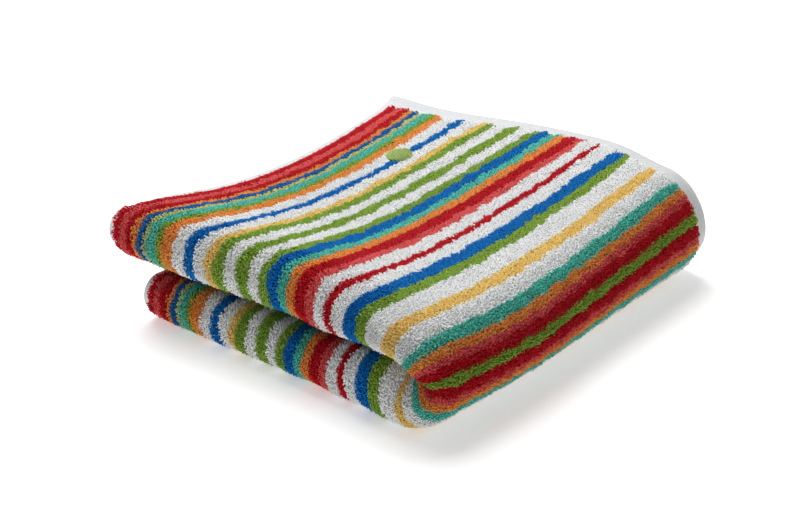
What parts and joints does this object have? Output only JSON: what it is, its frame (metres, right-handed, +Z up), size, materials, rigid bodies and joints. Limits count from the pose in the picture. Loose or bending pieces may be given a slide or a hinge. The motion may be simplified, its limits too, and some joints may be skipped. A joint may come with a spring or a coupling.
{
  "type": "folded guest towel",
  "caption": "Striped terry guest towel in one piece, folded in thirds along its length and then in half, lying flat on its underside.",
  "frame": {"origin": "centre of the bounding box, on the surface that the towel lies on", "axes": "+X along the stripes from the front rolls to the hem, +Y from the half fold to the selvedges, +Z up"},
  "size_m": [0.1736, 0.1588, 0.0422],
  "materials": {
    "terry": "matt cotton terry with a cut and brushed pile, woven in lengthwise stripes on white"
  },
  "bodies": {
    "root": {"towel": "terry"}
  },
  "joints": []
}
